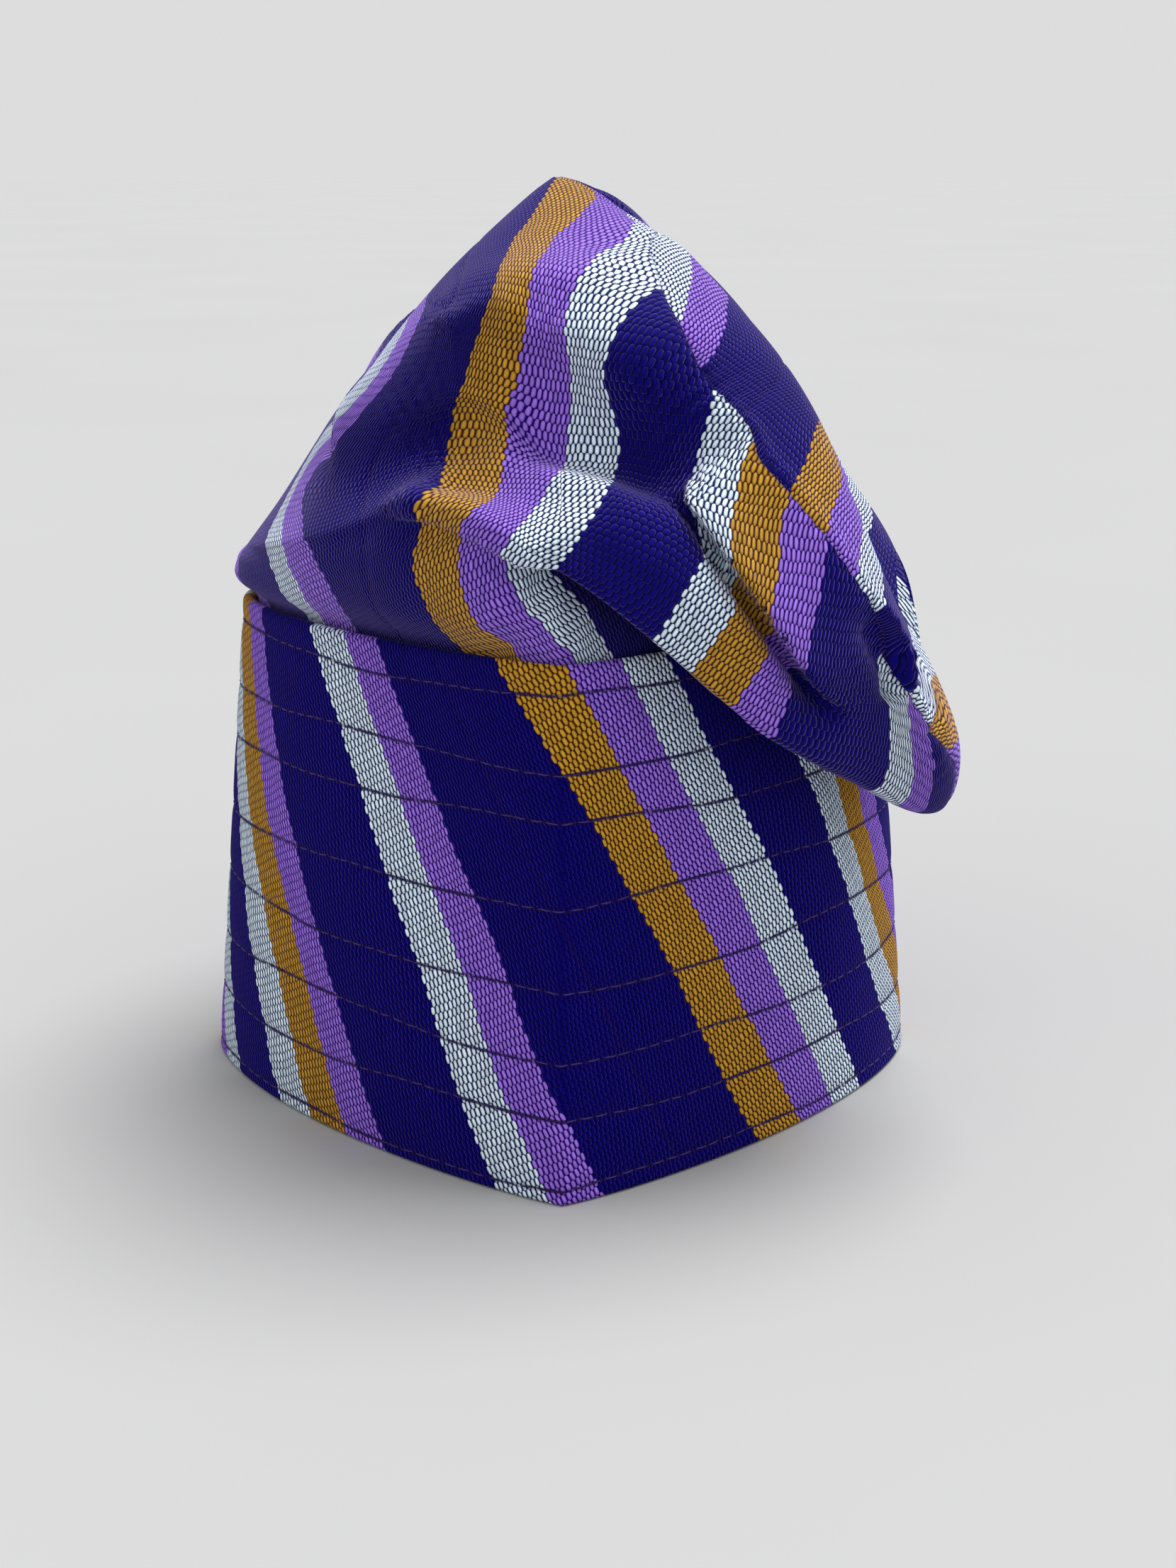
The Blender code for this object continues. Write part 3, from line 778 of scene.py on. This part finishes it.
# A fold's line goes through three places, each an azimuth and a level. Lift raises the cloth there, and
# uphill and downhill are how wide that is on either side. Lean moves it down the slope. Sink presses the
# cloth in below the line, most at sink_away from it. Where a row leaves these out, there are none.
FOLD_COLUMNS = ("fold", "az_a", "level_a", "az_b", "level_b", "az_c", "level_c",
                "lift", "uphill", "downhill", "lean", "sink", "sink_away")
FOLDS = (
    ("top seam, front", 57, 0.42, 38, 0.565, 26, 0.70, 4.0, 11.0, 9.0),
    ("top seam, front edge", 57, 0.42, 38, 0.565, 26, 0.70, 1.5, 2.5, 3.5, -0.8),
    ("top seam, over", 26, 0.70, 23, 0.83, 60, 0.91, 2.0, 11.0, 10.0),
    ("top seam, back", 90, 0.91, 160, 0.86, 180, 0.55, 3.0, 12.0, 12.0),
    ("droop, upper layer", 20.5, 0.60, 28, 0.53, 40, 0.44, 3.5, 14.0, 2.2, 8.0, 5.0, 5.0),
    ("droop, lower valley", 20.5, 0.56, 27.5, 0.495, 37, 0.425, -3.0, 3.0, 6.0),
    ("droop, tongue", 42, 0.545, 45.5, 0.505, 47, 0.475, 2.5, 4.0, 2.0, 1.5, 3.5, 4.0),
    ("right side hollow", 68, 0.48, 84, 0.57, 102, 0.66, -4.0, 17.0, 16.0),
    ("right side, tip", 47, 0.51, 50, 0.48, 54, 0.46, -2.0, 8.0, 8.0),
    ("brow", -30, 0.73, -8, 0.82, 18, 0.81, 3.0, 14.0, 6.0, 1.5, 1.0, 10.0),
    ("brow, lower ridge", -27, 0.72, -17, 0.765, -7, 0.77, 2.5, 4.0, 6.0, 1.0),
    ("brow, bulge over the front", -14, 0.71, 4, 0.765, 22, 0.62, 5.0, 13.0, 7.0, 3.0),
    ("front dent", -34, 0.50, -2, 0.585, 26, 0.57, -6.0, 13.0, 8.5),
    ("front dent, deep part", -14, 0.56, 6, 0.61, 24, 0.575, -5.5, 10.0, 8.0),
    ("lip of the front roll", -31, 0.375, -12, 0.368, 0, 0.375, 4.0, 7.0, 3.0, 3.2, 1.5, 8.0),
    ("crease above the lip", -24, 0.41, -8, 0.455, 8, 0.54, -3.0, 6.0, 7.0),
    ("left front slope", -54, 0.58, -38, 0.66, -20, 0.78, 3.5, 14.0, 10.0, 1.0),
    ("left back slope", -150, 0.48, -128, 0.60, -112, 0.80, 3.0, 13.0, 11.0),
    ("back sag", 112, 0.60, 140, 0.52, 168, 0.56, 3.0, 14.0, 8.0, 2.0),
)
PLAIN_FOLD = {"lean": 0.0, "sink": 0.0, "sink_away": 1.0}
FOLD_STEPS = 33
FOLD_END_FADE = 0.22
FOLD_REACH = 0.30
SINK_WIDTH = 0.6
WALL_EASING = 12

# The crown's grid: the share of its rows that lie below a level, and how its columns crowd at the front.
CROWN_COLUMNS = 420
CROWN_ROWS = 198
INSIDE_ROWS = 24
ROW_SHARES = ((0.0, 0.0), (0.06, 0.12), (0.22, 0.37), (0.62, 0.62), (1.0, 1.0))
FRONT_CROWDING = 0.42
FRONT_CROWDING_AT = math.radians(15.0)


def smooth_rise(share):
    """A rise from 0 to 1 that is level at both ends: three squares less two cubes."""
    return share * share * (3.0 - 2.0 * share)


def smooth_through(at, knots, values):
    """Smooth curve through a table: cubic pieces, whose slope at a knot is the mean of those beside it."""
    gap = np.diff(knots)
    slope = np.diff(values, axis=0) / gap[:, None]
    inner_slope = (gap[1:, None] * slope[:-1] + gap[:-1, None] * slope[1:]) / (gap[:-1] + gap[1:])[:, None]
    knot_slope = np.concatenate((slope[:1], inner_slope, slope[-1:]))
    piece = np.clip(np.searchsorted(knots, at, side="right") - 1, 0, len(knots) - 2)
    step = gap[piece][:, None]
    u = (at - knots[piece])[:, None] / step
    low = (2 * u**3 - 3 * u**2 + 1) * values[piece] + (u**3 - 2 * u**2 + u) * knot_slope[piece] * step
    high = (3 * u**2 - 2 * u**3) * values[piece + 1] + (u**3 - u**2) * knot_slope[piece + 1] * step
    return low + high


def section_at(az):
    """The section table read at any azimuth, joined round the back: one array for each column's name."""
    table = np.array(SECTIONS, float)
    table = np.vstack((table[-2:], table, table[:2]))
    table[:2, 0] -= 360.0
    table[-2:, 0] += 360.0
    values = smooth_through(np.degrees(signed_turn(az)), table[:, 0], table[:, 1:])
    return dict(zip(SECTION_COLUMNS[1:], values.T))


def crown_base(az, level):
    """Crown without folds: a smooth profile through each section's places, swept round the axis.

    Where the hem hangs lower than the tuck, the cloth under it turns up behind it. The sections drift
    toward the summit as they rise, and the summit is blunted by a hyperbola.
    """
    row = section_at(az)
    rim = band_outline(az, 1.0)
    inside = rim - BAND_WALL - SEAT_GAP
    hang = np.clip((row["tuck_z"] - row["hem_z"]) / HEM_HANG, 0.0, 1.0)
    share = (LEVELS["under"] - LEVELS["tuck"]) / (LEVELS["hem"] - LEVELS["tuck"])
    plain_out = row["tuck_out"] + share * (row["hem_out"] - row["tuck_out"])
    plain_z = row["tuck_z"] + share * (row["hem_z"] - row["tuck_z"])
    under_out = plain_out + hang * (row["hem_out"] - HEM_FOLD_WIDTH - plain_out)
    under_z = plain_z + hang * (row["hem_z"] + HEM_FOLD_RISE - plain_z)
    level_ring = np.ones_like(rim)
    places = (
        (inside, (BAND_HEIGHT - ROOT_DEPTH) * level_ring),
        (inside, (BAND_HEIGHT + ROOT_RISE) * level_ring),
        (rim + row["neck_out"], row["neck_z"]),
        (rim + row["tuck_out"], row["tuck_z"]),
        (rim + under_out, under_z),
        (rim + row["hem_out"], row["hem_z"]),
        (rim + row["skirt_out"], row["skirt_z"]),
        (row["brow_r"], row["brow_z"]),
        (row["shoulder_r"], row["shoulder_z"]),
        (0.0 * level_ring, SUMMIT["z"] * level_ring),
    )
    knots = np.array(list(LEVELS.values()))
    radius = smooth_through(level, knots, np.stack([place[0] for place in places]))
    in_band = (level <= LEVELS["throat"])[:, None]
    radius = np.where(in_band, np.minimum(radius, inside), radius)
    blunted = np.maximum(1.0 - np.hypot(1.0 - level, SUMMIT_ROUNDING), 0.0)
    height = smooth_through(blunted, knots, np.stack([place[1] for place in places]))
    drift = np.clip((level - SUMMIT_DRIFT_START) / (1.0 - SUMMIT_DRIFT_START), 0.0, 1.0)
    drift = smooth_rise(drift)[:, None]
    x = SUMMIT["x"] * drift + radius * np.sin(az)
    y = SUMMIT["y"] * drift - radius * np.cos(az)
    return np.stack((x, y, height), -1)


def outward(points):
    """Unit normals of a grid of points whose rows run up and whose columns run round."""
    up = np.gradient(points, axis=0)
    ring = np.roll(points, -1, axis=1) - np.roll(points, 1, axis=1)
    return unit(np.cross(ring, up))


def eased(normal):
    """The normals averaged up and down each section, so that the inner face turns gently at a fold."""
    for _ in range(WALL_EASING):
        middle = (normal[:-2] + 2.0 * normal[1:-1] + normal[2:]) / 4.0
        normal = np.concatenate((normal[:1], middle, normal[-1:]))
    return unit(normal)


def fold_line(fold):
    """Points, levels and strength along one fold: a parabola through its places, fading at both ends."""
    u = np.linspace(0.0, 1.0, FOLD_STEPS)
    through = np.stack((2 * (u - 0.5) * (u - 1.0), 4 * u * (1.0 - u), 2 * u * (u - 0.5)), -1)
    az = np.radians(through @ np.array((fold["az_a"], fold["az_b"], fold["az_c"]), float))
    level = through @ np.array((fold["level_a"], fold["level_b"], fold["level_c"]), float)
    points = np.stack([crown_base(az[i:i + 1], level[i:i + 1])[0, 0] for i in range(FOLD_STEPS)])
    strength = np.clip(np.minimum(u, 1.0 - u) / FOLD_END_FADE, 0.0, 1.0)
    return points, level, smooth_rise(strength)


def crown_surface(az, level):
    """Outer face of the crown: the base, moved by every fold in the table.

    A fold moves it by a bell curve of the distance from its line, and only on its own layer of cloth,
    which is told by the level.
    """
    base = crown_base(az, level)
    normal = outward(base)
    moved = np.zeros_like(base)
    for row in FOLDS:
        fold = {**PLAIN_FOLD, **dict(zip(FOLD_COLUMNS, row))}
        points, line_level, strength = fold_line(fold)
        run = unit(np.gradient(points, axis=0))
        distance = np.stack([np.linalg.norm(base - point, axis=-1) for point in points], -1)
        nearest = distance.argmin(-1)
        uphill = np.cross(run[nearest], normal)
        uphill *= np.where(uphill[..., 2:] < 0.0, -1.0, 1.0)
        above = (uphill * (base - points[nearest])).sum(-1) > 0.0
        away = distance.min(-1)
        width = np.where(above, fold["uphill"], fold["downhill"])
        level_gap = np.abs(level[:, None] - line_level[nearest])
        same_layer = np.clip(2.0 - 2.0 * level_gap / FOLD_REACH, 0.0, 1.0)
        held = strength[nearest] * same_layer
        rise = held * np.exp(-(away / width) ** 2)
        sink_width = SINK_WIDTH * fold["sink_away"]
        dip = held * ~above * np.exp(-((away - fold["sink_away"]) / sink_width) ** 2)
        moved += rise[..., None] * (fold["lift"] * normal - fold["lean"] * uphill)
        moved -= (dip * fold["sink"])[..., None] * normal
    settled = np.clip((level - LEVELS["neck"]) / (LEVELS["tuck"] - LEVELS["neck"]), 0.0, 1.0)
    return base + moved * settled[:, None, None]


# The top seam's way over the crown, from its root below the tip to its root at the back. Its front
# part is where it shows in the photograph, in pixels, and the rest is in degrees of azimuth and level.
SEAM_ROOT = ((62, 0.0), (62, 0.21), (60, 0.37))
SEAM_SEEN = (
    1350, 1085, 1336, 1060, 1315, 1026, 1290, 996, 1264, 958, 1246, 925, 1237, 880, 1210, 818, 1165, 757,
    1113, 692, 1062, 620, 1011, 550, 991, 521, 952, 440, 932, 396, 917, 345,
)
SEAM_BACK = ((44, 0.90), (55, 0.885), (90, 0.875), (130, 0.865), (158, 0.84),
             (172, 0.75), (180, 0.55), (180, 0.21), (180, 0.0))
SEAM_STEPS = 300
SEAM_DEPTH = 0.5
SEAM_WIDTH = 0.9

# Where the stripes' edges show on the crown: the length across the cloth at the edge, then pixels
# right and down. The first table is the panel on the left and the front, the second the one on the right.
LEFT_SIGHTINGS = (
    (-68.4, (440, 888, 392, 826, 378, 788, 376, 762, 386, 735, 410, 690)),
    (-56.7, (452, 886, 425, 836, 402, 790, 398, 760, 402, 720, 420, 680, 445, 640, 468, 612, 497, 576,
             518, 549)),
    (-44.0, (500, 890, 480, 850, 450, 800, 428, 760, 424, 720, 432, 680, 458, 640, 481, 604, 520, 567,
             546, 537, 569, 503, 585, 470, 599, 437)),
    (0.0, (702, 936, 638, 904, 600, 844, 580, 780, 579, 723, 615, 700, 630, 639, 645, 555, 661, 490,
           675, 446, 697, 423, 696, 406, 701, 381, 713, 362, 745, 315, 773, 270)),
    (12.7, (724, 933, 686, 898, 660, 860, 645, 815, 642, 770, 652, 735, 684, 712, 703, 670, 715, 615,
            729, 536, 742, 476, 747, 445, 743, 406, 751, 374, 778, 328, 818, 298)),
    (25.4, (812, 925, 769, 876, 735, 838, 712, 800, 708, 775, 742, 719, 766, 684, 787, 666, 797, 610,
            806, 564, 808, 525, 797, 476, 790, 448, 800, 416, 814, 395, 840, 355, 885, 338)),
    (37.1, (859, 923, 835, 890, 797, 842, 766, 815, 777, 794, 832, 719, 858, 684, 872, 633, 871, 610,
            857, 585, 844, 541, 844, 522, 853, 494, 869, 457, 894, 423, 915, 409, 932, 404)),
    (58.1, (912, 900, 949, 872, 979, 809, 1000, 775, 967, 706, 981, 651, 1004, 583, 1008, 552)),
    (69.8, (977, 941, 1016, 888, 1038, 817, 1022, 777, 1046, 698, 1062, 619)),
    (82.5, (1038, 991, 1062, 955, 1085, 896, 1082, 860, 1103, 785, 1111, 698)),
    (95.2, (1095, 1030, 1117, 967, 1143, 939, 1161, 848, 1165, 757)),
    (125.2, (1216, 1115, 1253, 1085, 1252, 987, 1238, 923)),
    (136.9, (1279, 1121, 1287, 1093, 1281, 1014, 1275, 987)),
    (149.6, (1311, 1133, 1317, 1093, 1307, 1018)),
)
RIGHT_SIGHTINGS = (
    (136.9, (972, 390, 965, 425, 955, 447)),
    (149.6, (1024, 440, 1025, 462, 1013, 495, 997, 517)),
    (193.6, (1150, 597, 1140, 640, 1121, 683)),
    (206.3, (1185, 655, 1182, 700, 1168, 750)),
    (219.0, (1214, 762, 1209, 808)),
    (230.7, (1243, 790, 1245, 830, 1242, 870)),
    (251.7, (1283, 905, 1289, 925, 1295, 955, 1298, 982)),
    (263.4, (1310, 962, 1320, 1004)),
    (276.1, (1335, 1050)),
)
# On the side and back, out of the photograph's sight, the right panel's stripes keep their width.
BEHIND_COLUMNS = ("across", "azimuth", "level")
RIGHT_BEHIND = (
    (156, 90, 0.83), (184, 90, 0.73), (208, 90, 0.63), (222, 90, 0.54), (246, 90, 0.37), (262, 90, 0.20),
    (160, 130, 0.83), (205, 130, 0.63), (234, 130, 0.37),
    (168, 170, 0.83), (201, 170, 0.63), (233, 170, 0.37),
)
PANEL_STIFFNESS = 40.0
PANEL_OVERLAP = 3.0

# A panel is laid out flat as a part of a cone, with each row's lengths averaged over LAYOUT_EASING columns.
CONE_SHARE = 0.55
LAYOUT_EASING = 20.0
PANEL_MIDDLE = {"left": math.radians(-75.0), "right": math.radians(105.0)}

spread = np.linspace(-math.pi, math.pi, CROWN_COLUMNS + 1)
at_ends = math.sin(FRONT_CROWDING_AT - math.pi)
crown_az = spread - FRONT_CROWDING * (np.sin(spread - FRONT_CROWDING_AT) + at_ends)
crown_az = np.clip(crown_az, -math.pi, math.pi)
crown_level = np.interp(np.linspace(0.0, 1.0, CROWN_ROWS + 1), *np.array(ROW_SHARES).T)
outer = crown_surface(crown_az[:-1], crown_level)
outer_closed = np.concatenate((outer, outer[:, :1]), axis=1)


def evened(steps):
    """Each row of lengths averaged round the crown by a bell curve, so that folds change it gently."""
    waves = np.fft.rfftfreq(steps.shape[1])
    bell = np.exp(-2.0 * (math.pi * LAYOUT_EASING * waves) ** 2)
    return np.fft.irfft(np.fft.rfft(steps, axis=1) * bell, steps.shape[1], axis=1)


up_steps = evened(np.linalg.norm(np.diff(outer[::-1], axis=0), axis=-1))
from_summit = np.concatenate((np.zeros((1, CROWN_COLUMNS)), np.cumsum(up_steps, axis=0)))[::-1]
from_summit = np.concatenate((from_summit, from_summit[:, :1]), axis=1)


def laid_out(middle):
    """The crown unrolled like a cone about its summit: arc length from it, at a share of the azimuth."""
    angle = signed_turn(crown_az - middle)[None, :] * CONE_SHARE
    return np.stack((from_summit * np.sin(angle), -from_summit * np.cos(angle)), -1)


def in_grid(az, level):
    """Row and column of the crown's grid, with fractions, at azimuths in degrees and levels."""
    rows = np.interp(level, crown_level, np.arange(CROWN_ROWS + 1))
    columns = np.interp(np.radians(az), crown_az, np.arange(CROWN_COLUMNS + 1))
    return np.stack((rows, columns), -1)


def seam_gap(points):
    """Distance to the top seam, negative on the left panel and positive on the right one.

    The right panel lies, at each level, between the seam's front part and its back part.
    """
    seen = place_in_grid(points, np.array(SEAM_SEEN, float).reshape(-1, 2))
    seen_az = np.degrees(np.interp(seen[:, 1], np.arange(CROWN_COLUMNS + 1), crown_az))
    seen_level = np.interp(seen[:, 0], np.arange(CROWN_ROWS + 1), crown_level)
    path = np.concatenate((SEAM_ROOT, np.stack((seen_az, seen_level), -1), SEAM_BACK))
    steps = np.linspace(0.0, len(path) - 1.0, SEAM_STEPS)
    way = smooth_through(steps, np.arange(len(path)), path)
    line = read_grid(points, in_grid(way[:, 0], way[:, 1]))
    distance = np.full(points.shape[:2], FAR)
    for a, b in zip(line[:-1], line[1:]):
        along = np.clip(((points - a) @ (b - a)) / max((b - a) @ (b - a), 1e-9), 0.0, 1.0)
        foot = a + along[..., None] * (b - a)
        distance = np.minimum(distance, np.linalg.norm(points - foot, axis=-1))
    top = way[:, 1].argmax()
    front = np.interp(crown_level, way[:top + 1, 1], np.radians(way[:top + 1, 0]))
    back = np.interp(crown_level, way[top:, 1][::-1], np.radians(way[top:, 0])[::-1])
    inside = (crown_az[None, :] > front[:, None]) & (crown_az[None, :] < back[:, None])
    inside &= (crown_level < way[top, 1])[:, None]
    return np.where(inside, distance, -distance)


gap = seam_gap(outer_closed)
behind = dict(zip(BEHIND_COLUMNS, np.array(RIGHT_BEHIND, float).T))
behind = np.column_stack((behind["across"], in_grid(behind["azimuth"], behind["level"])))
readings = {}
for panel, sightings, hidden in (("left", LEFT_SIGHTINGS, None), ("right", RIGHT_SIGHTINGS, behind)):
    flat = laid_out(PANEL_MIDDLE[panel])
    across = stripe_places(outer_closed, flat, sightings, PANEL_STIFFNESS, hidden)
    inside = gap < PANEL_OVERLAP if panel == "left" else gap > -PANEL_OVERLAP
    inside &= (crown_level > LEVELS["neck"])[:, None]
    along = lengths_along(outer_closed, flat, across, inside)
    readings[panel] = np.stack((across, along, gap), -1)

drawn_in = SEAM_DEPTH * np.exp(-(gap / SEAM_WIDTH) ** 2)
drawn_in += join_groove(np.where(gap < 0.0, readings["left"][..., 0], readings["right"][..., 0]))
outer = outer - drawn_in[:, :-1, None] * outward(outer)
inside_levels = np.linspace(0, CROWN_ROWS, INSIDE_ROWS + 1).astype(int)[:-1]
inner = (outer - CROWN_WALL * eased(outward(outer)))[inside_levels]
inner[0, :, 2] = outer[0, :, 2]
summit = outer[-1, :1]
crown_vertices = np.concatenate((inner[::-1].reshape(-1, 3), outer[:-1].reshape(-1, 3)))
crown_vertices = np.concatenate((crown_vertices, summit, summit - (0.0, 0.0, CROWN_WALL)))
rings = len(inner) + CROWN_ROWS
last_ring = (rings - 1) * CROWN_COLUMNS
here = np.arange(CROWN_COLUMNS)
there = (here + 1) % CROWN_COLUMNS
caps = np.concatenate((
    np.stack((last_ring + here, last_ring + there, np.full_like(here, rings * CROWN_COLUMNS)), -1),
    np.stack((there, here, np.full_like(here, rings * CROWN_COLUMNS + 1)), -1),
))
crown_attributes = {}
for panel, reading in readings.items():
    reading = reading[:, :-1]
    rows = np.concatenate((reading[inside_levels][::-1].reshape(-1, 3), reading[:-1].reshape(-1, 3)))
    crown_attributes["cloth_" + panel] = np.concatenate((rows, reading[-1, :1], reading[-1, :1]))
crown_cloth = cloth_material("crown cloth", ("cloth_left", "cloth_right"), shine=0.05, sheen=0.34,
                             painted_shade_strength=0.35)
crown_faces = (ring_faces(rings, CROWN_COLUMNS, False), caps)
crown = grid_mesh("striped_crown", crown_vertices, crown_faces, crown_cloth, crown_attributes)
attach(crown, "root")
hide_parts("crown")
